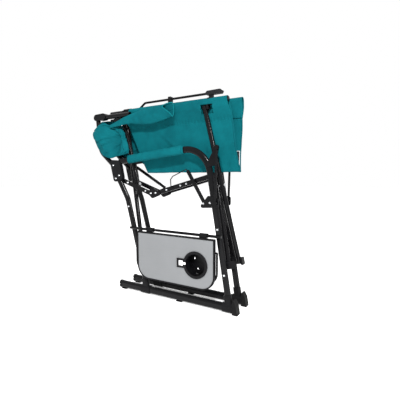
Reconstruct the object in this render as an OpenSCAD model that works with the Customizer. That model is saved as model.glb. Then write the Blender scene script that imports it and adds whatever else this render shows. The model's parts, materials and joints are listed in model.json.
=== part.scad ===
// Folding director's chair with a side table, stored folded and standing on its two floor rails.
// +X is the chair's front, +Z is up, and the side that carries the table is at -Y.
// The two side frames are parallel. Crossed tubes at the front and the rear join them and spread them apart.

/* [Frame] */
// Length of each floor rail
rail_len = 600; // [580:5:620]
// Height of each floor rail
rail_h = 34; // [30:1:36]
// Width of each floor rail
rail_w = 24; // [20:1:24]
// Wide side of the oval leg tube
leg_w = 27; // [24:1:28]
// Narrow side of the oval leg tube
leg_t = 16; // [14:1:16]
// Wall of every steel tube
wall = 1.2; // [1:0.1:1.5]

/* [Cross tubes] */
// Outside diameter of the crossed tubes and of the seat rails
tube_d = 20; // [18:0.5:20]
// Height of the lower pivots of the crossed tubes
low_pivot_z = 190; // [180:5:195]
// Height of the upper pivots of the crossed tubes, folded
top_pivot_z = 812; // [805:1:815]

/* [Table] */
// Length of the table top, along the chair
table_len = 390; // [370:2:396]
// Depth of the table top
table_deep = 212; // [200:2:214]
// Inside radius of the cup hole
cup_r = 47; // [40:1:48]

/* [Hidden] */
$fn = 48;
$fuller = 0;

BLACK = [0.09, 0.09, 0.10];
PLASTIC = [0.14, 0.14, 0.15];
TEAL = [0.02, 0.52, 0.53];
GREY = [0.62, 0.64, 0.66];
STEEL = [0.75, 0.76, 0.78];

// Side frame, in the side view: [x, z] points
frame_y = -48;                       // middle of the right side frame
face_out = frame_y - leg_t / 2;      // its outer flat face
face_in = frame_y + leg_t / 2;       // its inner flat face
rail_z = rail_h / 2 + 4;             // middle of the floor rail
foot_z = rail_z + rail_h / 2 + 3;    // where the leg tubes start, inside their sockets
front_foot_x = 272;
front_lean = -9.5;
arm_bend_r = 110;
arm_turn = -86.7;
front_leg_len = 524;
arm_len = 362;
rear_foot_x = -142;
rear_lean = -14.9;
rear_leg_len = 392;
rear_turn = -15;
rear_top_len = 118;
joint_top = [-326, 592];             // pin of the lower back post
joint_low = [-312, 530];             // rivet of the side brace
gusset_at = [-108, 460];
brace_front_at = [161, 534];
plate_z = 435;

// Cross tubes. They lie in a plane that leans back, and turn about its normal.
cross_lean = 12;
cross_y = 26;
cross_front_x = 272;
cross_rear_x = -170;
cross_rise = (top_pivot_z - low_pivot_z) / cos(cross_lean);
cross_len = sqrt(cross_rise * cross_rise + 4 * cross_y * cross_y);
cross_angle = asin(2 * cross_y / cross_len);
cross_off = tube_d / 2 + 1;          // each tube's distance from the plane of the pivots
cross_over = 6;                      // tube beyond each end pivot
pin_r = 4;

// Seat rails
seat_rail_z = top_pivot_z + 26;
seat_rail_front = 255;
seat_rail_rear = -362;
seat_half = 284;                     // from a seat rail to the middle of the seat

// Moves the drawing so that its middle is at the origin
middle_x = 67;
middle_y = 6.7;

// Back posts
post_d = 22;
elbow_at = [-430, 822];
post_upper_len = 185;

// Table
table_pivot_z = 303;
table_pivot_y = face_out - 6;
table_x0 = -167;
table_top_z = 294;
table_t = 12;
table_y = table_pivot_y - 6;         // the top's inner face, hanging
cup_at = [136, 181];
prop_z = table_pivot_z - 66;
prop_r = 4.5;
prop_y = face_out - 6.5;

// ---- shapes shared by the parts ----

// Flat oval with half-round ends, w along x and t along y. A bend makes its profile a touch fuller.
module oval(w, t, g = $fuller) {
    square([w - t, t + 2 * g], center = true);
    for (s = [-1, 1])
        translate([s * (w - t) / 2, 0])
            circle(d = t + 2 * g);
}

module oval_ring(w, t) {
    difference() {
        oval(w, t);
        oval(w - 2 * wall, t - 2 * wall, -$fuller);
    }
}

module round_ring(d) {
    difference() {
        circle(d = d + 2 * $fuller);
        circle(d = d - 2 * wall - 2 * $fuller);
    }
}

module round_rod(d) {
    circle(d = d + 2 * $fuller);
}

// A bend of the profile towards +x, or towards -x for a negative turn
module bend(turn, r) {
    $fuller = 0.06;
    mirror([turn < 0 ? 1 : 0, 0, 0])
        translate([r, 0, 0])
            rotate([90, 0, 180])
                rotate_extrude(angle = abs(turn))
                    translate([r, 0])
                        children();
}

// A tube that starts upwards and follows steps of [length, turn, bend radius] in the side plane
module bent_tube(steps, i = 0) {
    length = steps[i][0];
    turn = steps[i][1];
    r = steps[i][2];
    start = i > 0 ? -1 : 0;
    over = turn != 0 ? 1 : 0;
    translate([0, 0, start])
        linear_extrude(length - start + over)
            children();
    if (turn != 0)
        translate([0, 0, length]) {
            bend(turn, r)
                children();
            translate([sign(turn) * r * (1 - cos(turn)), 0, r * abs(sin(turn))])
                rotate([0, turn, 0])
                    bent_tube(steps, i + 1)
                        children();
        }
}

module at_side(p, y = frame_y) {
    translate([p[0], y, p[1]])
        children();
}

// Side-view outline made solid from y0 to y1
module slab(y0, y1) {
    translate([0, y1, 0])
        rotate([90, 0, 0])
            linear_extrude(y1 - y0)
                children();
}

module round_hull(points, r) {
    hull()
        for (p = points)
            translate(p)
                circle(r, $fn = 32);
}

// Flat bar between two side-view points
module bar(a, b, w) {
    round_hull([a, b], w / 2);
}

module left_of_chair() {
    mirror([0, 1, 0])
        children();
}

// ---- side frame, drawn for the right side ----

module floor_rail() color(BLACK) {
    translate([-rail_len / 2 + 12, frame_y, rail_z])
        rotate([0, 90, 0])
            linear_extrude(rail_len - 24)
                oval_ring(rail_h, rail_w);
}

module front_leg() color(BLACK) {
    at_side([front_foot_x, foot_z])
        rotate([0, front_lean, 0])
            bent_tube([[front_leg_len, arm_turn, arm_bend_r], [arm_len, 0, 0]])
                oval_ring(leg_w, leg_t);
}

module rear_leg() color(BLACK) {
    at_side([rear_foot_x, foot_z])
        rotate([0, rear_lean, 0])
            bent_tube([[rear_leg_len, rear_turn, 120], [rear_top_len, 0, 0]])
                oval_ring(leg_w, leg_t);
}

// Moulded sockets that hold the leg feet on the floor rail
module sockets() color(PLASTIC) {
    for (foot = [[front_foot_x, front_lean], [rear_foot_x, rear_lean]])
        difference() {
            union() {
                at_side([foot[0], rail_z])
                    rotate([0, 90, 0])
                        translate([0, 0, -26])
                            linear_extrude(foot[0] > 0 ? 44 : 50)
                                oval(rail_h + 5, rail_w + 5);
                at_side([foot[0], rail_z + rail_h / 2 - 6])
                    rotate([0, foot[1], 0])
                        linear_extrude(40)
                            oval(leg_w + 6, leg_t + 6);
            }
            translate([-rail_len, frame_y, rail_z])
                rotate([0, 90, 0])
                    linear_extrude(2 * rail_len)
                        oval(rail_h, rail_w);
            at_side([foot[0], foot_z])
                rotate([0, foot[1], 0])
                    translate([0, 0, -8])
                        linear_extrude(90)
                            oval(leg_w, leg_t);
            translate([foot[0], frame_y, -5])
                cube([200, 100, 20], center = true);
        }
}

// Rear plug with a groove across it, and the flared rubber foot at the front
module feet() color(PLASTIC) {
    difference() {
        translate([-rail_len / 2, frame_y, rail_z])
            rotate([0, 90, 0])
                linear_extrude(12)
                    oval(rail_h + 2, rail_w + 2);
        translate([-rail_len / 2 - 1, frame_y - 30, rail_z - 2])
            cube([6, 60, 4]);
    }
    for (x = [-rail_len / 2 + 26, 40])
        translate([x, frame_y, 0])
            translate([-14, -rail_w / 2 + 3, 0])
                cube([28, rail_w - 6, 4]);
    slab(frame_y - rail_w / 2 - 3, frame_y + rail_w / 2 + 3)
        polygon([
            [rail_len / 2 - 9, 0], [rail_len / 2 + 14, 0], [rail_len / 2 + 8, rail_h + 2],
            [rail_len / 2 - 2, rail_h + 22], [rail_len / 2 - 9, rail_h + 22]
        ]);
}

// Moulded joint at the rear end of the arm
module arm_joint() color(PLASTIC) {
    difference() {
        slab(frame_y - 11.5, frame_y + 7)
            round_hull([
                joint_low, joint_top + [-4, 10], joint_top + [26, 8], joint_low + [26, 6]
            ], 15);
        at_side([rear_foot_x, foot_z])
            rotate([0, rear_lean, 0])
                bent_tube([[rear_leg_len, rear_turn, 120], [rear_top_len, 0, 0]])
                    oval(leg_w, leg_t);
        at_side([front_foot_x, foot_z])
            rotate([0, front_lean, 0])
                bent_tube([[front_leg_len, arm_turn, arm_bend_r], [arm_len, 0, 0]])
                    oval(leg_w, leg_t);
        back_lower_body();
    }
}

// Padded fabric sleeve on the arm
module arm_pad() color(TEAL) {
    at_side([front_foot_x, foot_z])
        rotate([0, front_lean, 0])
            translate([
                -arm_bend_r * (1 - cos(arm_turn)), 0, front_leg_len - arm_bend_r * sin(arm_turn)
            ])
                rotate([0, arm_turn, 0])
                    translate([0, -3.5, 4])
                        linear_extrude(arm_len - 62)
                            difference() {
                                oval(38, 28);
                                translate([0, 3.5])
                                    oval(leg_w + 0.6, leg_t + 0.6);
                            }
}

module brace_rear() color(BLACK) {
    slab(face_in, face_in + 3.4)
        bar(joint_low, gusset_at - [6, -1.5], 20);
}

module brace_front() color(BLACK) {
    slab(face_in, face_in + 3.4)
        bar(gusset_at + [20, 5.5], brace_front_at + [25, 7], 20);
}

// Plate that joins the two halves of the side brace
module brace_gusset() color(BLACK) {
    slab(face_in - 3.2, face_in)
        round_hull([gusset_at + [-16, 8], gusset_at + [2, -8], gusset_at + [34, 4], gusset_at + [6, 16]], 10);
}

// Flat plates on the outside of the front leg
module leg_plates() color(BLACK) {
    slab(face_out - 3.1, face_out - 0.1)
        round_hull([[158, plate_z - 14], [222, plate_z - 10], [222, plate_z + 12], [186, plate_z + 20]], 8);
    slab(face_out - 3.1, face_out - 0.1)
        round_hull([[184, 585], [206, 590], [222, 652]], 9);
}

module guide_rod() color(BLACK) {
    y = face_out - 3.1 - 5;
    low = [217, plate_z];
    high = [223, 651];
    lean = atan2(high[0] - low[0], high[1] - low[1]);
    length = norm(high - low);
    for (p = [low, high])
        translate([p[0], y + 5, p[1]])
            rotate([90, 0, 0])
                cylinder(r = 9, h = 10);
    at_side(low, y)
        rotate([0, lean, 0])
            translate([0, 0, 9])
                cylinder(r = 5, h = length - 18);
}

// Brackets on the inner faces of the legs that carry the lower cross pivots, each with its pin.
// The right side's tubes lie behind the plane of the pivots, and the left side's in front of it.
module pivot_brackets(s) color(PLASTIC) {
    for (x = [cross_front_x, cross_rear_x])
        cross_frame(x)
            mirror([s < 0 ? 1 : 0, 0, 0]) {
                translate([-31, face_in, -15])
                    cube([55, 1.8, 30]);
                translate([-31, face_in, -15])
                    cube([8, 26, 30]);
                translate([-24, -cross_y, 0])
                    rotate([0, 90, 0])
                        cylinder(r = pin_r, h = 23.6);
            }
}

// Local frame of a cross pair: +x along the turning axis, +z up the leaning plane, at the lower pivots
module cross_frame(x) {
    translate([x, 0, low_pivot_z])
        rotate([0, -cross_lean, 0])
            children();
}

module rivet(p, y) {
    translate([p[0], y, p[1]])
        rotate([90, 0, 0])
            cylinder(r1 = 4.6, r2 = 3.2, h = 2.2, $fn = 24);
}

module rivets() color(STEEL) {
    for (p = [joint_top, joint_low, joint_low + [22, 14]])
        rivet(p, frame_y - 11.5);
    for (p = [[161, plate_z - 4], [191, plate_z]])
        rivet(p, face_out - 3.1);
    for (t = [-0.72, -0.2])
        rivet(gusset_at + t * (gusset_at - joint_low), face_in);
    for (t = [0.28, 0.55, 0.66])
        rivet(gusset_at + t * (brace_front_at - gusset_at), face_in);
    for (p = [gusset_at + [-8, 4], gusset_at + [18, 6]])
        rivet(p, face_in - 3.2);
    for (z = [150, 330])
        rivet([front_foot_x - (z - 38) * tan(-front_lean), z], face_out);
    rivet([rear_foot_x - (400 - 38) * tan(-rear_lean), 400], face_out);
}

module back_lower_body() {
    at_side([-318, 578])
        rotate([0, -50, 0])
            bent_tube([[100, 45, 70], [140, 0, 0]])
                round_rod(post_d);
}

module back_lower() color(BLACK) {
    difference() {
        at_side([-318, 578])
            rotate([0, -50, 0])
                bent_tube([[100, 45, 70], [140, 0, 0]])
                    round_ring(post_d);
        at_side(elbow_at)
            rotate([90, 0, 0])
                cylinder(r = pin_r + 0.08, h = 60, center = true);
    }
}

// ---- pieces found on one side only ----

// Cross bar that the table hangs from, with a cap on each end
module table_rail() color(BLACK) {
    translate([-222, table_pivot_y, table_pivot_z])
        rotate([0, 90, 0])
            difference() {
                cylinder(r = 6, h = 466);
                translate([0, 0, 3])
                    cylinder(r = 6 - wall, h = 460);
            }
}

// Lever beside the front brace, and the wire pull that hooks on it
module release_lever() color(BLACK) {
    low = [161, plate_z - 2];
    high = [84, 560];
    slab(face_in - 12, face_in - 4)
        bar(low, high, 13);
    slab(face_out, face_in - 12)
        translate(low)
            circle(6);
    pull_y = face_in - 8;
    points = [[-2, 492], [-4, 526], [8, 540], [76, 569]];
    for (i = [0:len(points) - 2])
        let (a = points[i], b = points[i + 1])
            at_side(a, pull_y)
                rotate([0, atan2(b[0] - a[0], b[1] - a[1]), 0])
                    cylinder(r = 2, h = norm(b - a), $fn = 24);
    for (p = points)
        at_side(p, pull_y)
            sphere(2.05, $fn = 24);
}

// Diagonal strut under the left arm
module left_strut() color(BLACK) {
    left_of_chair()
        slab(face_in, face_in + 3.2)
            bar([-100, 490], [-262, 582], 14);
}

// ---- cross tubes ----

// One cross tube in its pivot frame: from the low pivot on side s to the high pivot on the other side
module cross_tube(s, off) {
    color(BLACK)
        difference() {
            translate([off, s * cross_y, 0])
                rotate([s * cross_angle, 0, 0])
                    translate([0, 0, -cross_over])
                        difference() {
                            cylinder(d = tube_d, h = cross_len + 2 * cross_over);
                            translate([0, 0, 1])
                                cylinder(d = tube_d - 2 * wall, h = cross_len + 2 * cross_over - 2);
                        }
            for (p = [[s * cross_y, 0], [0, cross_rise / 2], [-s * cross_y, cross_rise]])
                translate([-60, p[0], p[1]])
                    rotate([0, 90, 0])
                        cylinder(r = pin_r + 0.08, h = 120);
        }
}

// Pin at a crossing, with a head on each end
module cross_pin(x) color(STEEL) {
    cross_frame(x)
        translate([0, 0, cross_rise / 2]) {
            translate([-cross_off - tube_d / 2 - 1, 0, 0])
                rotate([0, 90, 0])
                    cylinder(r = pin_r, h = 2 * cross_off + tube_d + 2);
            for (s = [-1, 1])
                translate([s * (cross_off + tube_d / 2 + 2), 0, 0])
                    rotate([0, 90, 0])
                        cylinder(r = 7, h = 2.4, center = true);
        }
}

// ---- seat rails, drawn for the right side ----

module seat_rail() color(BLACK) {
    translate([seat_rail_rear, -cross_y, seat_rail_z])
        rotate([0, 90, 0])
            difference() {
                cylinder(d = tube_d, h = seat_rail_front - seat_rail_rear);
                translate([0, 0, 2])
                    cylinder(d = tube_d - 2 * wall, h = seat_rail_front - seat_rail_rear - 4);
            }
}

// Moulded elbows on the rail. Each carries the top pivot of a cross tube, which s puts in front or behind.
module rail_elbows(s) color(PLASTIC) {
    for (x = [cross_front_x, cross_rear_x])
        difference() {
            union() {
                cross_frame(x)
                    translate([0, -cross_y, cross_rise])
                        mirror([s < 0 ? 1 : 0, 0, 0]) {
                            translate([22.4, -9.8, -11])
                                cube([8, 20, 40]);
                            translate([0.5, 0, 0])
                                rotate([0, 90, 0])
                                    cylinder(r = pin_r, h = 26);
                        }
                translate([x - (top_pivot_z - low_pivot_z) * tan(cross_lean) + (s > 0 ? 26 : -52), -cross_y, seat_rail_z])
                    rotate([0, 90, 0])
                        intersection() {
                            cylinder(r = 14.5, h = 26);
                            translate([-20, -9.8, -1])
                                cube([40, 30, 60]);
                        }
            }
            translate([-500, -cross_y, seat_rail_z])
                rotate([0, 90, 0])
                    cylinder(d = tube_d, h = 1000);
        }
}

// ---- carry bar on the left seat rail ----

bar_low_z = 857;
bar_y = cross_y + 5;
bar_bend_r = 20;
bar_slope = 35;
bar_high_z = bar_low_z + 36 * sin(bar_slope) + 2 * bar_bend_r * (1 - cos(bar_slope));

module carry_bar() color(BLACK) {
    translate([-330, bar_y, bar_low_z])
        rotate([0, 90, 0])
            bent_tube([[82, -bar_slope, bar_bend_r], [36, bar_slope, bar_bend_r], [342, 0, 0]])
                round_rod(10);
}

module carry_grip() color([0.32, 0.32, 0.34]) {
    h = bar_high_z;
    difference() {
        slab(bar_y - 15, bar_y + 5.2)
            round_hull([[130, h - 3], [138, h + 5], [196, h + 6], [203, h + 1], [200, h - 5], [134, h - 5]], 3);
        translate([0, bar_y, bar_high_z])
            rotate([0, 90, 0])
                cylinder(d = 10, h = 148);
    }
}

// Clips round the seat rail: the rear one holds the bar's end, the others stand under it
module carry_clips() color(PLASTIC) {
    difference() {
        union() {
            for (clip = [[-296, 20, bar_low_z + 8], [-60, 14, bar_high_z + 8], [146, 14, bar_high_z - 8]])
                translate([clip[0], cross_y - 9.8, seat_rail_z - 11])
                    cube([clip[1], 20, clip[2] - seat_rail_z + 11]);
        }
        translate([-400, cross_y, seat_rail_z])
            rotate([0, 90, 0])
                cylinder(d = tube_d, h = 800);
        for (run = [[-400, bar_low_z], [-100, bar_high_z]])
            translate([run[0], bar_y, run[1]])
                rotate([0, 90, 0])
                    cylinder(d = 10, h = 140);
    }
}

// ---- fabric, as plain solids ----

// Space that the cross tubes and their pins need
module cross_room(r) {
    for (x = [cross_front_x, cross_rear_x])
        cross_frame(x) {
            for (s = [-1, 1])
                for (ahead = [-1, 1])
                    translate([ahead * cross_off, s * cross_y, 0])
                        rotate([s * cross_angle, 0, 0])
                            cylinder(r = r, h = cross_len + 60);
            translate([-60, 0, cross_rise / 2])
                rotate([0, 90, 0])
                    cylinder(r = 9, h = 120);
        }
}

module seat_panel() color(TEAL) {
    difference() {
        slab(-cross_y + 3, -cross_y + 15)
            polygon([
                [-228, seat_rail_z - 15], [250, seat_rail_z - 15],
                [300, seat_rail_z - seat_half], [-148, seat_rail_z - seat_half]
            ]);
        cross_room(12.5);
        for (x = [cross_front_x, cross_rear_x])
            cross_frame(x)
                translate([0, -cross_y, cross_rise])
                    cube([80, 60, 60], center = true);
    }
}

module back_panel() color(TEAL) {
    slab(-34, -12)
        round_hull([[-440, 770], [-436, 690], [-398, 640], [-345, 700], [-338, 778], [-420, 792]], 8);
}

// ---- back posts above the elbow ----

module back_upper() color(BLACK) {
    at_side(elbow_at)
        rotate([0, 90, 0])
            translate([0, 0, 20])
                linear_extrude(post_upper_len)
                    round_ring(post_d);
}

// Elbow caps that hinge on the lower post's end
module back_elbow() color(PLASTIC) {
    difference() {
        slab(frame_y - 15, frame_y + 10.8)
            round_hull([elbow_at + [0, 0], elbow_at + [46, 2]], 15);
        at_side(elbow_at)
            rotate([0, 90, 0])
                translate([0, 0, 20])
                    cylinder(d = post_d, h = 300);
        at_side(elbow_at)
            cube([44, post_d + 1.2, 60], center = true);
    }
    at_side(elbow_at, frame_y - 14)
        rotate([-90, 0, 0])
            cylinder(r = pin_r, h = 24);
}

// ---- table ----

module table_outline(inset) {
    r = 62 - inset;
    x0 = table_x0 + inset;
    x1 = table_x0 + table_len - inset;
    z1 = table_top_z - inset;
    z0 = table_top_z - table_deep + inset;
    translate([x0, z0 + r])
        square([x1 - x0, z1 - z0 - r]);
    translate([x0 + r, z0])
        square([x1 - x0 - 2 * r, r + 1]);
    for (x = [x0 + r, x1 - r])
        translate([x, z0 + r])
            circle(r);
}

module stem_slot(grow) {
    translate(cup_at - [72 + grow, 9 + grow])
        square([60, 18 + 2 * grow]);
    translate(cup_at - [84 + grow, 15 + grow])
        square([30 + 2 * grow, 30 + 2 * grow]);
}

module table_top() color(GREY) {
    slab(table_y - table_t + 1.5, table_y - 1)
        difference() {
            table_outline(6);
            translate(cup_at)
                circle(cup_r + 2);
            stem_slot(2);
        }
}

module table_rim() color(BLACK) {
    slab(table_y - table_t, table_y)
        difference() {
            table_outline(0);
            table_outline(6);
        }
}

// Knuckles round the table rail, and lugs for the prop
module table_hinges() color(PLASTIC) {
    for (x = [-120, 150])
        difference() {
            translate([x, 0, 0]) {
                translate([0, table_pivot_y, table_pivot_z])
                    rotate([0, 90, 0])
                        cylinder(r = 9.5, h = 34);
                translate([0, table_y - 4, table_top_z])
                    cube([34, 4, 12]);
            }
            translate([-300, table_pivot_y, table_pivot_z])
                rotate([0, 90, 0])
                    cylinder(r = 6.06, h = 600);
        }
    for (x = [-96, 60])
        difference() {
            translate([x, table_y, prop_z - 8])
                cube([16, 8, 16]);
            translate([-300, prop_y, prop_z])
                rotate([0, 90, 0])
                    cylinder(r = prop_r + 0.06, h = 600);
        }
}

// Ring, stem slot trim and cup below the table top
module cup_holder() color(BLACK) {
    slab(table_y - table_t - 2.4, table_y - table_t + 1.5)
        difference() {
            union() {
                translate(cup_at)
                    circle(cup_r + 9);
                stem_slot(4);
            }
            translate(cup_at)
                circle(cup_r - 2);
            stem_slot(-4);
        }
    slab(table_y - table_t + 1.5, table_y + 36)
        difference() {
            translate(cup_at)
                circle(cup_r);
            translate(cup_at)
                circle(cup_r - 2);
        }
    slab(table_y + 36, table_y + 38.5)
        translate(cup_at) {
            difference() {
                circle(cup_r);
                circle(cup_r - 12);
            }
            for (turn = [20, 110])
                rotate(turn)
                    square([2 * cup_r - 16, 40], center = true);
        }
}

// Wire loop that holds the table level, hinged under the top
module table_prop() color(BLACK) {
    x0 = -184;
    x1 = 226;
    r = 40;
    z1 = prop_z;
    z0 = prop_z - 123;
    translate([x0, prop_y, z0 + r])
        cylinder(r = prop_r, h = z1 - z0 - r);
    translate([x1, prop_y, z0 + r])
        cylinder(r = prop_r, h = z1 - z0 - r);
    translate([x0 + r, prop_y, z0])
        rotate([0, 90, 0])
            cylinder(r = prop_r, h = x1 - x0 - 2 * r);
    translate([x0, prop_y, z1])
        rotate([0, 90, 0])
            cylinder(r = prop_r, h = x1 - x0);
    for (x = [x0, x1])
        translate([x, prop_y, z1])
            sphere(prop_r);
    translate([x0 + r, prop_y, z0 + r])
        rotate([90, 0, 0])
            rotate([0, 0, 180])
                rotate_extrude(angle = 90)
                    translate([r, 0])
                        circle(prop_r);
    translate([x1 - r, prop_y, z0 + r])
        rotate([90, 0, 0])
            rotate([0, 0, 270])
                rotate_extrude(angle = 90)
                    translate([r, 0])
                        circle(prop_r);
}

// The origin is on the floor, in the middle of the folded chair
module placed() {
    translate([middle_x, middle_y, 0])
        children();
}

// ---- the nodes ----

placed() floor_rail();  // right_floor_rail
placed() front_leg();  // right_front_leg
placed() rear_leg();  // right_rear_leg
placed() sockets();  // right_sockets
placed() feet();  // right_feet
placed() arm_joint();  // right_arm_joint
placed() arm_pad();  // right_arm_pad
placed() brace_rear();  // right_brace_rear
placed() brace_front();  // right_brace_front
placed() brace_gusset();  // right_brace_gusset
placed() leg_plates();  // right_leg_plates
placed() guide_rod();  // right_guide_rod
placed() pivot_brackets(1);  // right_pivot_brackets
placed() rivets();  // right_rivets
placed() back_lower();  // right_back_lower
placed() table_rail();
placed() release_lever();
placed() left_of_chair() floor_rail();  // left_floor_rail
placed() left_of_chair() front_leg();  // left_front_leg
placed() left_of_chair() rear_leg();  // left_rear_leg
placed() left_of_chair() sockets();  // left_sockets
placed() left_of_chair() feet();  // left_feet
placed() left_of_chair() arm_joint();  // left_arm_joint
placed() left_of_chair() arm_pad();  // left_arm_pad
placed() left_of_chair() brace_rear();  // left_brace_rear
placed() left_of_chair() brace_front();  // left_brace_front
placed() left_of_chair() brace_gusset();  // left_brace_gusset
placed() left_of_chair() leg_plates();  // left_leg_plates
placed() left_of_chair() guide_rod();  // left_guide_rod
placed() left_of_chair() pivot_brackets(-1);  // left_pivot_brackets
placed() left_of_chair() rivets();  // left_rivets
placed() left_of_chair() back_lower();  // left_back_lower
placed() left_strut();
placed() cross_frame(cross_front_x) cross_tube(-1, -cross_off);  // cross_a_front
placed() cross_frame(cross_rear_x) cross_tube(-1, -cross_off);  // cross_a_rear
placed() cross_pin(cross_front_x);  // cross_pin_front
placed() cross_pin(cross_rear_x);  // cross_pin_rear
placed() cross_frame(cross_front_x) cross_tube(1, cross_off);  // cross_b_front
placed() cross_frame(cross_rear_x) cross_tube(1, cross_off);  // cross_b_rear
placed() seat_rail();  // right_seat_rail
placed() rail_elbows(1);  // right_rail_elbows
placed() left_of_chair() seat_rail();  // left_seat_rail
placed() left_of_chair() rail_elbows(-1);  // left_rail_elbows
placed() carry_bar();
placed() carry_grip();
placed() carry_clips();
placed() seat_panel();  // seat_right
placed() left_of_chair() seat_panel();  // seat_left
placed() back_upper();  // right_back_upper
placed() back_elbow();  // right_back_elbow
placed() left_of_chair() back_upper();  // left_back_upper
placed() left_of_chair() back_elbow();  // left_back_elbow
placed() back_panel();  // back_right
placed() left_of_chair() back_panel();  // back_left
placed() table_top();
placed() table_rim();
placed() table_hinges();
placed() cup_holder();
placed() table_prop();
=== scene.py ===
import json
import math

import bpy
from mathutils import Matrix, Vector, noise


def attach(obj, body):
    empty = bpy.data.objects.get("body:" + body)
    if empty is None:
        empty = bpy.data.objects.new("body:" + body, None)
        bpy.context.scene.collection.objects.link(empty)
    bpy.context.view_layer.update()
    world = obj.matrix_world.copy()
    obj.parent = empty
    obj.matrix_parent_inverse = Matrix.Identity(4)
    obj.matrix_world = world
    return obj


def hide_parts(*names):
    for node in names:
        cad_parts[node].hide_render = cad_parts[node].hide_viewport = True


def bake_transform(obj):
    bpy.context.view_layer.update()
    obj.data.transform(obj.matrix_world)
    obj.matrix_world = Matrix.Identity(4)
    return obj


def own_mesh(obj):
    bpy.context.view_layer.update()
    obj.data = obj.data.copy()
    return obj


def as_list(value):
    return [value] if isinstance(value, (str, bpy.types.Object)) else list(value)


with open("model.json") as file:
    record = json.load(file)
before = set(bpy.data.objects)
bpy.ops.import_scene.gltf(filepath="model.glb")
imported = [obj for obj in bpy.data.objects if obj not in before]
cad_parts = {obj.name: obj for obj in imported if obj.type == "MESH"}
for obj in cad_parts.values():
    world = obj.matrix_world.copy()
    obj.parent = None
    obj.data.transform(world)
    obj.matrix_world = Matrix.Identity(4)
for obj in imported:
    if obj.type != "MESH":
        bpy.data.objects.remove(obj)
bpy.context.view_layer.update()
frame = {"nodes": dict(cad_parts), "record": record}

# The drawing's middle is moved to the origin in part.scad. Points below are in the drawing's own metres.
MIDDLE = Vector((0.067, 0.0067, 0.0))
RAIL_Y, RAIL_Z = 0.026, 0.838        # each seat rail, folded: its distance from the chair's middle and its height
SEAM_Z = 0.766                       # the seam that closes the sleeve round the rail
SEAT_LOW = 0.556                     # the hem of the hanging seat cloth
POST_Y = 0.050                       # 2 mm outside the middles of the back posts, which are at 0.048


# ---- materials ----

class Nodes:
    """A material's node tree, with short calls to add and join nodes."""

    def __init__(self, name):
        self.material = bpy.data.materials.new(name)
        self.material.use_nodes = True
        self.tree = self.material.node_tree
        self.shader = self.tree.nodes["Principled BSDF"]
        self.place = self.add("ShaderNodeTexCoord").outputs["Object"]

    def add(self, kind, **values):
        node = self.tree.nodes.new(kind)
        for key, value in values.items():
            if hasattr(node, key):
                setattr(node, key, value)
            else:
                node.inputs[key.replace("_", " ")].default_value = value
        return node

    def join(self, out, into):
        self.tree.links.new(out, into)

    def noise(self, scale, detail=4.0, roughness=0.55, place=None):
        node = self.add("ShaderNodeTexNoise", Scale=scale, Detail=detail, Roughness=roughness)
        self.join(place or self.place, node.inputs["Vector"])
        return node.outputs["Fac"]

    def ramp(self, value, low, high, at=(0.3, 0.7)):
        node = self.add("ShaderNodeValToRGB")
        for stop, colour, position in zip(node.color_ramp.elements, (low, high), at):
            stop.position = position
            stop.color = (*colour, 1) if len(colour) == 3 else colour
        self.join(value, node.inputs["Fac"])
        return node.outputs["Color"]

    def span(self, value, low, high, start=0.0, end=1.0):
        node = self.add("ShaderNodeMapRange")
        for key, number in (("From Min", start), ("From Max", end), ("To Min", low), ("To Max", high)):
            node.inputs[key].default_value = number
        self.join(value, node.inputs["Value"])
        return node.outputs["Result"]

    def mix(self, factor, a, b, kind="MIX"):
        node = self.add("ShaderNodeMix", data_type="RGBA", blend_type=kind)
        for value, socket in ((factor, node.inputs[0]), (a, node.inputs[6]), (b, node.inputs[7])):
            if isinstance(value, bpy.types.NodeSocket):
                self.join(value, socket)
            else:
                socket.default_value = value if isinstance(value, float) else (*value, 1)
        return node.outputs[2]

    def maths(self, operation, a, b=0.0):
        node = self.add("ShaderNodeMath", operation=operation)
        for value, socket in ((a, node.inputs[0]), (b, node.inputs[1])):
            if isinstance(value, bpy.types.NodeSocket):
                self.join(value, socket)
            else:
                socket.default_value = value
        return node.outputs[0]

    def bump(self, height, strength, distance, under=None):
        node = self.add("ShaderNodeBump", Strength=strength, Distance=distance)
        self.join(height, node.inputs["Height"])
        if under:
            self.join(under, node.inputs["Normal"])
        return node.outputs["Normal"]

    def finish(self, colour, roughness, normal):
        self.join(colour, self.shader.inputs["Base Color"])
        self.join(roughness, self.shader.inputs["Roughness"])
        self.join(normal, self.shader.inputs["Normal"])
        return self.material


def powder_coat(name, colour, worn):
    """Sprayed paint: a fine orange-peel texture, with a few short rubbed marks."""
    n = Nodes(name)
    shade = n.ramp(n.noise(35), [c * 0.8 for c in colour], [c * 1.25 for c in colour])
    stretch = n.add("ShaderNodeMapping")
    stretch.inputs["Scale"].default_value = (1, 1, 0.2)
    n.join(n.place, stretch.inputs["Vector"])
    rubbed = n.span(n.noise(230, 3.0, place=stretch.outputs["Vector"]), 0.0, 0.8, 0.73, 0.80)
    paint = n.mix(rubbed, shade, worn)
    peel = n.bump(n.noise(2600, 2.0), 0.08, 0.0002)
    normal = n.bump(n.noise(18, 2.0), 0.04, 0.002, peel)
    n.shader.inputs["Specular IOR Level"].default_value = 0.14
    return n.finish(paint, n.span(n.noise(60), 0.15, 0.24, 0.3, 0.7), normal)


def moulded(name, colour, rough=(0.42, 0.6), grain=1400, depth=0.25):
    """Moulded plastic or rubber with a spark-eroded grain."""
    n = Nodes(name)
    shade = n.ramp(n.noise(22), [c * 0.8 for c in colour], [c * 1.25 for c in colour])
    cell = n.add("ShaderNodeTexVoronoi", Scale=float(grain))
    n.join(n.place, cell.inputs["Vector"])
    normal = n.bump(cell.outputs["Distance"], depth, 0.0002)
    n.shader.inputs["Specular IOR Level"].default_value = 0.10
    return n.finish(shade, n.span(n.noise(90), rough[0], rough[1], 0.3, 0.7), normal)


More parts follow.
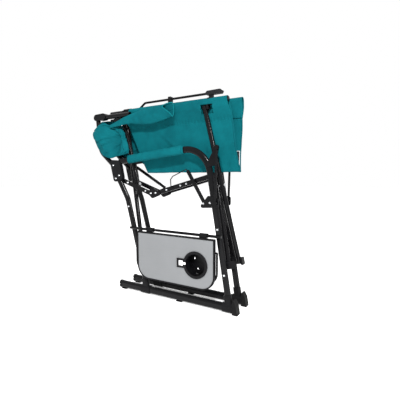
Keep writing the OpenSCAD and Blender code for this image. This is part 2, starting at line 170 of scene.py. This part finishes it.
def steel(name):
    """Zinc-plated steel with fine drawn lines."""
    n = Nodes(name)
    n.shader.inputs["Metallic"].default_value = 1.0
    stretch = n.add("ShaderNodeMapping")
    stretch.inputs["Scale"].default_value = (1, 1, 0.04)
    n.join(n.place, stretch.inputs["Vector"])
    lines = n.noise(1800, 3.0, place=stretch.outputs["Vector"])
    shade = n.ramp(n.noise(70), (0.50, 0.51, 0.53), (0.74, 0.75, 0.76))
    return n.finish(shade, n.span(lines, 0.22, 0.42, 0.3, 0.7), n.bump(lines, 0.15, 0.0001))


def weave(name, dark, light, sheen=0.3, thread=1500.0):
    """Plain-woven polyester: two sets of threads, a faint fade and dust in the folds."""
    n = Nodes(name)
    parts = n.add("ShaderNodeSeparateXYZ")
    n.join(n.place, parts.inputs[0])
    across = n.maths("ADD", parts.outputs[0], n.maths("MULTIPLY", parts.outputs[1], 0.35))
    along = n.maths("ADD", parts.outputs[2], n.maths("MULTIPLY", parts.outputs[1], 0.65))
    warp = n.maths("ABSOLUTE", n.maths("SINE", n.maths("MULTIPLY", across, thread)))
    weft = n.maths("ABSOLUTE", n.maths("SINE", n.maths("MULTIPLY", along, thread)))
    cloth = n.maths("MULTIPLY", warp, weft)
    slub = n.noise(420, 3.0)
    base = n.ramp(n.noise(9, 5.0, 0.6), dark, light, (0.32, 0.68))
    threads = n.mix(n.span(cloth, 0.0, 0.35), base, [c * 0.55 for c in dark])
    colour = n.mix(n.span(slub, 0.0, 0.18, 0.45, 0.8), threads, [min(1, c * 1.4) for c in light])
    n.shader.inputs["Sheen Weight"].default_value = sheen
    n.shader.inputs["Sheen Roughness"].default_value = 0.45
    n.shader.inputs["Specular IOR Level"].default_value = 0.04
    normal = n.bump(slub, 0.12, 0.0004, n.bump(cloth, 0.35, 0.0003))
    return n.finish(colour, n.span(slub, 0.66, 0.86, 0.3, 0.7), normal)


def panel_board(name):
    """Pale grey board with a fine print grain and a few light scuffs."""
    n = Nodes(name)
    base = n.ramp(n.noise(6, 3.0), (0.142, 0.147, 0.152), (0.158, 0.163, 0.169))
    speck = n.noise(1700, 2.0)
    colour = n.mix(n.span(speck, 0.0, 0.22, 0.5, 0.75), base, (0.127, 0.131, 0.136))
    scuff = n.add("ShaderNodeMapping")
    scuff.inputs["Scale"].default_value = (0.25, 1, 3.5)
    scuff.inputs["Rotation"].default_value = (0, 0.5, 0)
    n.join(n.place, scuff.inputs["Vector"])
    marks = n.span(n.noise(70, 2.0, place=scuff.outputs["Vector"]), 0.38, 0.60, 0.35, 0.72)
    return n.finish(colour, marks, n.bump(speck, 0.08, 0.0002))


PAINT = powder_coat("black_powder_coat", (0.0024, 0.0024, 0.0028), (0.016, 0.016, 0.017))
PLASTIC = moulded("black_moulded_plastic", (0.0036, 0.0036, 0.0042))
TRIM = moulded("satin_black_trim", (0.003, 0.003, 0.0036), (0.28, 0.45), 2200, 0.12)
GRIP = moulded("dark_grip", (0.010, 0.010, 0.011), (0.5, 0.7), 900, 0.4)
RUBBER = moulded("black_rubber", (0.0045, 0.0045, 0.0048), (0.62, 0.82), 700, 0.3)
STEEL = steel("plated_steel")
TEAL = weave("teal_polyester", (0.0008, 0.060, 0.073), (0.0016, 0.092, 0.108), 0.0)
BINDING = weave("teal_binding", (0.0008, 0.050, 0.062), (0.0014, 0.078, 0.093), 0.0, 2400.0)
THREAD = weave("teal_thread", (0.002, 0.105, 0.120), (0.004, 0.140, 0.158), 0.0, 5200.0)
PATCH = weave("black_patch_cloth", (0.006, 0.006, 0.007), (0.013, 0.013, 0.015), 0.05, 2600.0)
PIPING = weave("pale_piping", (0.30, 0.33, 0.34), (0.45, 0.48, 0.49), 0.1, 3000.0)
BOARD = panel_board("grey_table_board")

FINISH = {
    "teal_fabric": TEAL, "grey_panel": BOARD, "bare_steel": STEEL, "black_rubber": RUBBER,
    "black_plastic": PLASTIC, "grey_grip": GRIP, "black_moulding": TRIM, "black_paint": PAINT,
}
for entry in frame["record"]["subparts"]:
    for place in frame["nodes"][entry["node"]].material_slots:
        place.material = FINISH[entry["material_slot"]]


# ---- meshes ----

def wobble(p, scale, seed=0.0):
    """Smooth noise from -1 to 1 at a point."""
    return noise.noise(Vector(p) * scale + Vector((seed, seed * 1.7, -seed)))


def make(name, points, faces, material):
    """A smooth mesh piece from points in the drawing's metres."""
    mesh = bpy.data.meshes.new(name)
    mesh.from_pydata([Vector(p) + MIDDLE for p in points], [], faces)
    mesh.polygons.foreach_set("use_smooth", [True] * len(mesh.polygons))
    mesh.materials.append(material)
    mesh.update()
    piece = bpy.data.objects.new(name, mesh)
    bpy.context.collection.objects.link(piece)
    return piece


def grid(name, across, down, point, material, keep=lambda u, v: True):
    """A sheet of across x down squares. point(u, v) gives each corner, u and v from 0 to 1."""
    points = [point(i / across, j / down) for j in range(down + 1) for i in range(across + 1)]
    row = across + 1
    faces = [
        (j * row + i, j * row + i + 1, (j + 1) * row + i + 1, (j + 1) * row + i)
        for j in range(down) for i in range(across)
        if keep((i + 0.5) / across, (j + 0.5) / down)
    ]
    used = sorted({k for face in faces for k in face})
    number = {k: n for n, k in enumerate(used)}
    return make(name, [points[k] for k in used], [[number[k] for k in f] for f in faces], material)


def apply(piece, kind, **values):
    """Adds a modifier to a piece and applies it."""
    modifier = piece.modifiers.new(kind.lower(), kind)
    for key, value in values.items():
        setattr(modifier, key, value)
    with bpy.context.temp_override(object=piece, active_object=piece, selected_objects=[piece]):
        bpy.ops.object.modifier_apply(modifier=modifier.name)


def cloth(piece, size, held, rests_on, thick=0.0016, **cut):
    """Gives a sheet its thickness. cut holds area, for a cut with slanting sides; it is not used."""
    apply(piece, "SOLIDIFY", thickness=thick, offset=0.0)
    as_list(rests_on)
    return piece


def skin(rows, sides):
    """Faces of a closed tube: rows of squares round it, and a cap on each end."""
    faces = [
        (i * sides + k, i * sides + (k + 1) % sides, (i + 1) * sides + (k + 1) % sides, (i + 1) * sides + k)
        for i in range(rows) for k in range(sides)
    ]
    return faces + [tuple(reversed(range(sides))), tuple(rows * sides + k for k in range(sides))]


def tube(name, path, radius, material, sides=10):
    """A closed tube along a path. radius(t, angle) may vary."""
    points = []
    for i, p in enumerate(path):
        ahead = (Vector(path[min(i + 1, len(path) - 1)]) - Vector(path[max(i - 1, 0)])).normalized()
        side = ahead.cross(Vector((0, 1, 0)))
        side = side.normalized() if side.length > 0.1 else Vector((1, 0, 0))
        up = side.cross(ahead)
        for k in range(sides):
            a = 2 * math.pi * k / sides
            r = radius(i / (len(path) - 1), a)
            points.append(Vector(p) + side * (r * math.cos(a)) + up * (r * math.sin(a)))
    return make(name, points, skin(len(path) - 1, sides), material)


def along(path, distance):
    """The point at a distance along a path, and the direction there."""
    for a, b in zip(path, path[1:]):
        run = (b - a).length
        if distance <= run and run > 0:
            return a + (b - a) * (distance / run), (b - a) / run
        distance -= run
    return path[-1], (path[-1] - path[-2]).normalized()


def stitches(name, path, material, pitch=0.0052, length=0.0034, thick=0.0005):
    """A row of short raised threads along a path. Each is six-sided and tapers at both ends."""
    y_axis = Vector((0, 1, 0))
    total = sum((b - a).length for a, b in zip(path, path[1:]))
    points, faces = [], []
    for n in range(int((total - length) / pitch)):
        base = len(points)
        for t, r in ((0, 0.3), (0.25, 1), (0.75, 1), (1, 0.3)):
            middle, ahead = along(path, n * pitch + length * t)
            side = ahead.cross(y_axis).normalized()
            for k in range(6):
                w = k * math.pi / 3
                points.append(middle + (side * math.cos(w) + y_axis * math.sin(w)) * thick * r)
        faces += [tuple(base + k for k in face) for face in skin(3, 6)]
    return make(name, points, faces, material)


# ---- seat cloth: one half hangs from each seat rail, with a sleeve round the rail ----

SLEEVE_R = 0.0122                    # the sleeve's radius round the rail
CROSS_X, CROSS_Z = 0.272, 0.190      # lower pivots of the front cross tubes
CROSS_SLOPE = math.tan(math.radians(12))
CROSS_PIN_Z = 0.501                  # height of the pin where they cross
CROSS_OFF = 0.0112                   # each tube's distance from the pair's middle, along the chair
NOTCH_X = (0.136, 0.188)             # the sleeve is cut away here, for the cross tube and its elbow
NOTCH_V = (0.335, 0.42)
SEAT_SEED = {"right": 2.0, "left": 7.3}


def seat_stops():
    """(v, outward, z) along the cloth's run: up inside the sleeve, over the rail, and down to the hem."""
    stops = [(0.0, 0.0130, SEAM_Z + 0.002), (0.16, 0.0140, 0.826), (0.19, 0.0140, RAIL_Z)]
    for k in range(1, 8):
        a = math.pi * k / 8
        stops.append((0.19 + 0.12 * k / 8, RAIL_Y - SLEEVE_R * math.cos(a), RAIL_Z + SLEEVE_R * math.sin(a)))
    return stops + [
        (0.31, RAIL_Y + SLEEVE_R, RAIL_Z), (0.36, RAIL_Y + 0.0095, 0.812), (0.47, 0.0168, SEAM_Z + 0.003),
        (0.50, 0.0140, SEAM_Z - 0.004), (0.70, 0.0095, 0.680), (0.90, 0.0050, 0.590), (0.97, 0.0025, SEAT_LOW + 0.004),
        (1.0, 0.0012, SEAT_LOW),
    ]


SEAT_STOPS = seat_stops()


def seat_profile(v):
    """[outward, z] of the cloth's run at v."""
    for (v0, y0, z0), (v1, y1, z1) in zip(SEAT_STOPS, SEAT_STOPS[1:]):
        if v <= v1:
            t = (v - v0) / (v1 - v0)
            return y0 + (y1 - y0) * t, z0 + (z1 - z0) * t
    return SEAT_STOPS[-1][1:]


def seat_edges(z, far):
    """Rear and front x of the cloth at a height. The sleeve starts ahead of the rear elbow on the rail."""
    t = max(0.0, (RAIL_Z - z) / (RAIL_Z - SEAT_LOW))
    rear = -0.268 + 0.128 * max(0.0, t - 0.18) if z < 0.806 else -0.244
    front = 0.292 + 0.006 * t if far else 0.252 + 0.048 * t
    return rear, front + 0.003 * math.sin(6 * t)


def tube_push(x, z):
    """Sideways push on both halves where they hang between the front cross tubes."""
    middle = CROSS_X - (z - CROSS_Z) * CROSS_SLOPE
    room = 0.0118 - 0.0815 * (z - CROSS_PIN_Z) + 0.0345 * (z - SEAT_LOW)
    reach = 0.021
    push = 0.0
    for way in (1, -1):
        away = abs(x - middle - way * CROSS_OFF) / reach
        if away < 1:
            push += way * max(0.0, room) * math.cos(away * math.pi / 2) ** 2
    return push


def seat_point(side, far, seed):
    """One half's surface: u runs from the rear to the front, v from inside the sleeve to the hem."""
    def point(u, v):
        out, z = seat_profile(v)
        rear, front = seat_edges(z, far)
        x = rear + (front - rear) * u
        low = max(0.0, (SEAM_Z - z) / (SEAM_Z - SEAT_LOW))
        hang = math.sin(math.pi * min(1.0, low * 1.05)) if low > 0 else 0.0
        fold = 0.0032 * wobble((x, 0, z), 11, seed) + 0.0016 * wobble((x, 0, z * 0.6), 34, seed + 3)
        crease = 0.0022 * math.exp(-((x * 0.9 + z - 0.66) / 0.012) ** 2) * hang
        near_edge = math.exp(-(u / 0.10) ** 2) + math.exp(-((1 - u) / 0.08) ** 2)
        pucker = 0.0007 * math.sin(x * 420 + seed) * math.exp(-((z - SEAM_Z) / 0.012) ** 2)
        sleeve = 0.0011 * wobble((x, v * 0.1, z), 38, seed + 9) if low <= 0 else 0.0
        y = out + (fold + crease) * (0.25 + hang) * min(1.0, low * 4) + pucker + sleeve
        y += 0.0035 * near_edge * hang
        push = tube_push(x, z) * min(1.0, low * 8)
        z += 0.004 * wobble((x, 0, 0.3), 12, seed) * low
        return Vector((x, side * y + push, z))
    return point


def seat_half(name, point):
    """The half's cloth, with the notch left out."""
    def keep(u, v):
        x = point(u, v).x
        return not (NOTCH_X[0] < x < NOTCH_X[1] and NOTCH_V[0] < v < NOTCH_V[1])

    return grid(name, 150, 110, point, TEAL, keep)


def trim_seat(label, side, surface, body):
    """The half's seams, hem, end bindings and the stitch rows beside them."""
    def run(v, shift, u0=0.02, u1=0.98, steps=160):
        path = [surface(u0 + (u1 - u0) * i / steps, v) for i in range(steps + 1)]
        return [p + Vector((0, side * shift, 0)) for p in path]

    for k, v in enumerate((0.492, 0.508)):
        seam = stitches("seat_seam_%s_%d" % (label, k), run(v, 0.0012), THREAD)
        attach(seam, body)
    hem = tube("seat_hem_" + label, run(0.985, 0.0, 0.0, 1.0), lambda t, a: 0.0023 + 0.0004 * math.sin(2 * a), BINDING)
    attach(hem, body)
    for end, u in (("rear", 0.004), ("front", 0.996)):
        path = [surface(u, 0.50 + 0.485 * i / 60) for i in range(61)]
        binding = tube("seat_edge_%s_%s" % (end, label), path, lambda t, a: 0.0024 + 0.0005 * math.cos(2 * a), BINDING)
        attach(binding, body)
        inset = 0.014 if end == "rear" else -0.014
        raised = Vector((0, side * 0.0011, 0))
        inner = [surface(u + inset, 0.51 + 0.46 * i / 60) + raised for i in range(61)]
        row = stitches("seat_edge_seam_%s_%s" % (end, label), inner, THREAD)
        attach(row, body)


for side, label in ((-1, "right"), (1, "left")):
    body = "seat_%s_half" % label
    surface = seat_point(side, side > 0, SEAT_SEED[label])
    piece = seat_half("seat_cloth_" + label, surface)
    cloth(piece, (0.53, 0.43), "hung", [label + "_seat_rail"])
    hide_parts("seat_" + label)
    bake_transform(piece)
    trim_seat(label, side, surface, body)


# The plain care patch near the front bottom corner of the far half, on the side that faces the near half
far_cloth = seat_point(1, True, SEAT_SEED["left"])


def patch_point(grow, lift):
    """Follows the far cloth's inner face. grow widens the patch, and lift raises it off the cloth."""
    def point(u, v):
        p = far_cloth(0.915 - grow + (0.072 + 2 * grow) * u, 0.795 - grow + (0.160 + 2 * grow) * v)
        return p - Vector((0, 0.0016 + lift, 0))
    return point


for name, grow, lift, material, thick in (("seat_patch_border", 0.005, 0.0, PIPING, 0.0010),
                                          ("seat_patch", 0.0, 0.0011, PATCH, 0.0012)):
    layer = grid(name, 14, 20, patch_point(grow, lift), material)
    apply(layer, "SOLIDIFY", thickness=thick, offset=0.0)
    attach(layer, "seat_left_half")


# ---- backrest cloth: each half is bunched round its folded post, and its pocket hangs along the seat ----

# The bunched half, from the chair's middle round the rear of the post to its outer side.
# Four rows from the top down, each with points of [x, outward, z].
BUNCH = (
    ((-0.345, 0.015, 0.800), (-0.390, 0.022, 0.806), (-0.405, 0.034, 0.806), (-0.395, 0.050, 0.803),
     (-0.385, 0.064, 0.800), (-0.362, 0.069, 0.789), (-0.326, 0.053, 0.766), (-0.318, 0.059, 0.769),
     (-0.308, 0.051, 0.773)),
    ((-0.340, 0.014, 0.750), (-0.385, 0.024, 0.752), (-0.437, 0.033, 0.758), (-0.453, 0.050, 0.760),
     (-0.437, 0.072, 0.750), (-0.385, 0.081, 0.747), (-0.304, 0.039, 0.730), (-0.274, 0.062, 0.733),
     (-0.262, 0.050, 0.741)),
    ((-0.335, 0.015, 0.700), (-0.375, 0.022, 0.700), (-0.428, 0.031, 0.700), (-0.443, 0.050, 0.702),
     (-0.414, 0.073, 0.694), (-0.362, 0.079, 0.690), (-0.304, 0.038, 0.685), (-0.264, 0.065, 0.692),
     (-0.243, 0.054, 0.700)),
    ((-0.330, 0.016, 0.655), (-0.365, 0.022, 0.650), (-0.395, 0.030, 0.652), (-0.410, 0.052, 0.648),
     (-0.374, 0.068, 0.638), (-0.338, 0.067, 0.627), (-0.314, 0.055, 0.633), (-0.268, 0.064, 0.640),
     (-0.231, 0.056, 0.649)),
)


def curve(stops, t):
    """A smooth curve through evenly spaced stops."""
    at = min(t, 0.9999) * (len(stops) - 1)
    k = int(at)
    f = at - k
    a, b, c, d = (stops[min(max(k + n, 0), len(stops) - 1)] for n in (-1, 0, 1, 2))
    return b + (c - a) * (f / 2) + (a * 2 - b * 5 + c * 4 - d) * (f * f / 2) + (b * 3 - a - c * 3 + d) * (f ** 3 / 2)


def bunch_point(side, seed):
    """The bunched half: u runs round the post from the chair's middle, v from the top down."""
    rows = [[Vector(p) for p in row] for row in BUNCH]

    def point(u, v):
        p = curve([curve(row, u) for row in rows], v)
        outer = min(1.0, max(0.0, (u - 0.30) / 0.2))
        fold = 0.0042 * wobble((u * 2.2, 0, v * 1.1), 3.0, seed) + 0.0017 * wobble((u * 3.0, 0, v * 1.4), 7.5, seed + 4)
        ridge = abs(wobble((u * 1.6 + 0.5 * v, 0, v * 0.9), 4.2, seed + 11))
        p.y += (fold - 0.030 * max(0.0, 0.20 - ridge)) * (0.35 + 0.65 * outer)
        p.x += 0.004 * wobble((u, 1, v), 5, seed + 2)
        p.z += 0.005 * wobble((u, 2, v), 5, seed + 6)
        if side > 0 and p.y > POST_Y:     # the far bunch is flatter outside its post
            p.y = POST_Y + (p.y - POST_Y) * 0.75
        return Vector((p.x, side * max(0.0125, p.y), p.z))
    return point


POCKET_REAR = -0.334                 # x where the pocket starts, beside the post
POCKET_CUT = (0.35, 0.18)            # its length and its width at the mouth, round both layers
POCKET_REAR_CUT = 0.04               # its width at the rear


def pocket_point(side, seed):
    """The pocket: a flat sleeve. It starts beside the post and its open end lies against the seat."""
    top = [Vector((0, 0, z)) for z in (0.779, 0.797, 0.813, 0.829, 0.836, 0.840, 0.846)]
    low = [Vector((0, 0, z)) for z in (0.766, 0.772, 0.777, 0.771, 0.770, 0.776, 0.788)]

    def point(u, v):
        a = 2 * math.pi * v
        out = -math.cos(a)
        high, deep = curve(top, u).z, curve(low, u).z
        q = 0.5 + 0.5 * math.sin(a)
        z = deep + (high - deep) * q
        end = 0.012 - 0.080 * max(0.0, out) * q ** 1.5
        x = POCKET_REAR + (end - POCKET_REAR) * u
        middle = 0.0655 - 0.013 * min(1.0, max(0.0, (x + 0.235) / 0.06))
        half = 0.0042 + 0.0062 * min(1.0, max(0.0, (x + 0.235) / 0.10))
        y = middle + half * out * (1 - 0.35 * abs(math.sin(a)) ** 3)
        slope = x * 0.8 - z
        crease = 0.0024 * wobble((slope, 0, x * 0.2), 34, seed) + 0.0016 * wobble((x, 0, z), 60, seed + 3)
        ridge = abs(wobble((slope * 0.9, 0, z * 0.3), 22, seed + 7))
        y += crease * max(0.0, out) - 0.0040 * max(0.0, 0.25 - ridge) * max(0.0, out)
        z += 0.0022 * wobble((x, 0, 1), 26, seed + 5)
        return Vector((x, side * max(y, 0.0598 if x < -0.215 else 0.0405), z))
    return point


for side, label in ((-1, "right"), (1, "left")):
    seed = 1.3 if side < 0 else 4.9
    surface = bunch_point(side, seed)
    bunch = grid("back_cloth_" + label, 200, 90, surface, TEAL)
    cloth(bunch, (0.30, 0.20), "gathered", [label + "_back_upper"])
    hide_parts("back_" + label)
    edges = {
        "hem": [surface(k / 140, 0.992) for k in range(141)],
        "edge": [surface(0.994, k / 60) for k in range(61)],
    }
    parts = [bunch] + [
        tube("back_%s_%s" % (name, label), path, lambda t, a: 0.0022 + 0.0004 * math.cos(2 * a), BINDING, 8)
        for name, path in edges.items()
    ]
    for part in parts:
        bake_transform(part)

    surface = pocket_point(side, seed)
    pocket = grid("back_pocket_" + label, 190, 56, surface, TEAL)
    taper = POCKET_CUT[0] * (POCKET_REAR_CUT + POCKET_CUT[1]) / 2
    cloth(pocket, POCKET_CUT, "gathered", [label + "_back_upper"], 0.0014, area=taper)
    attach(pocket, label + "_back")
    mouth = tube("back_mouth_" + label, [surface(0.997, k / 90) for k in range(91)],
                 lambda t, a: 0.0018 + 0.0003 * math.cos(2 * a), THREAD, 8)
    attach(mouth, label + "_back")
    for part in (pocket, mouth):     # each piece gets its own copy of its mesh
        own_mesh(part)


# ---- padded sleeves on the arms ----

ARM_Y = 0.0515
ARM_LONG = 0.300
ARM_START = Vector((0.0652, 0, 0.649))
ARM_AHEAD = Vector((-0.9942, 0, -0.1080))
ARM_UP = Vector((-0.1080, 0, 0.9942))


def arm_point(side, seed):
    """The sleeve's surface: u runs back along the arm, v round it."""
    def point(u, v):
        s = 0.002 + ARM_LONG * u
        a = 2 * math.pi * v
        end = min(u, 1 - u) / 0.03
        squeeze = 0.90 + 0.10 * min(1.0, end)
        wrinkle = 0.0010 * wobble((s, math.cos(a) * 0.03, math.sin(a) * 0.03), 46, seed)
        fade = 0.4 + 0.6 * wobble((s, 0, 0), 14, seed) ** 2
        wrinkle += 0.0008 * math.sin(s * 175 + 1.5 * math.sin(a) + seed) * fade
        high = (0.0188 + wrinkle) * squeeze * (1 + 0.06 * math.sin(a))
        wide = (0.0136 + wrinkle) * squeeze
        p = ARM_START + ARM_AHEAD * s + ARM_UP * (high * math.sin(a))
        bulge = abs(math.cos(a)) ** 0.8 * (1 if math.cos(a) > 0 else -1)
        return Vector((p.x, side * (ARM_Y + wide * bulge), p.z))
    return point


for side, label in ((-1, "right"), (1, "left")):
    seed = 3.1 if side < 0 else 8.4
    point = arm_point(side, seed)
    rows, sides = 150, 40
    points = [point(i / rows, k / sides) for i in range(rows + 1) for k in range(sides)]
    pad = make("arm_sleeve_" + label, points, skin(rows, sides), TEAL)
    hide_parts(label + "_arm_pad")
    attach(pad, label + "_frame")
    for k, u in enumerate((0.012, 0.988)):
        ring = [point(u, i / 60) for i in range(61)]
        cuff = tube("arm_cuff_%s_%d" % (label, k), ring, lambda t, a: 0.0017, BINDING, 8)
        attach(cuff, label + "_frame")
    seam = stitches("arm_seam_" + label, [point(0.02 + 0.96 * i / 90, 0.56) for i in range(91)], THREAD)
    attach(seam, label + "_frame")


# ---- floor, light and camera ----

def stage_floor():
    """A wide, pale floor that glows faintly, so that it stays near white."""
    n = Nodes("studio_floor")
    shade = n.ramp(n.noise(1.5, 2.0), (0.90, 0.90, 0.90), (0.92, 0.92, 0.92))
    n.finish(shade, n.span(n.noise(3.0), 0.75, 0.85), n.bump(n.noise(40), 0.02, 0.001))
    n.shader.inputs["Emission Color"].default_value = (1, 1, 1, 1)
    n.shader.inputs["Emission Strength"].default_value = 0.22
    mesh = bpy.data.meshes.new("floor")
    r = 14.0
    mesh.from_pydata([(-r, -r, 0), (r, -r, 0), (r, r, 0), (-r, r, 0)], [], [(0, 1, 2, 3)])
    mesh.materials.append(n.material)
    floor = bpy.data.objects.new("floor", mesh)
    bpy.context.collection.objects.link(floor)


def soft_light(name, place, aim, size, power):
    """A round area light at place, turned to aim."""
    data = bpy.data.lights.new(name, "AREA")
    data.shape = "DISK"
    data.size = size
    data.energy = power
    lamp = bpy.data.objects.new(name, data)
    lamp.location = place
    lamp.rotation_euler = (Vector(aim) - Vector(place)).to_track_quat("-Z", "Y").to_euler()
    bpy.context.collection.objects.link(lamp)


stage_floor()
world = bpy.data.worlds.new("studio")
bpy.context.scene.world = world
world.use_nodes = True
world.node_tree.nodes["Background"].inputs["Color"].default_value = (1, 1, 1, 1)
world.node_tree.nodes["Background"].inputs["Strength"].default_value = 1.0
soft_light("key", (1.3, -2.4, 2.5), (0, 0, 0.45), 0.30, 150)
soft_light("strip", (2.4, -0.9, 1.4), (0, 0, 0.45), 0.25, 26)
soft_light("back", (-0.6, 2.6, 2.4), (0, 0, 0.5), 0.9, 50)

camera_data = bpy.data.cameras.new("camera")
camera_data.sensor_width = 36.0
camera_data.lens = 27.4
camera = bpy.data.objects.new("camera", camera_data)
camera.location = (0.815, -1.115, 0.541)
PITCH = math.radians(4.5)
AHEAD = Vector((-0.492, 0.870, 0)).normalized() * math.cos(PITCH) - Vector((0, 0, math.sin(PITCH)))
camera.rotation_euler = AHEAD.to_track_quat("-Z", "Y").to_euler()
bpy.context.collection.objects.link(camera)
bpy.context.scene.camera = camera
bpy.context.scene.view_settings.view_transform = "Standard"


bpy.context.view_layer.update()
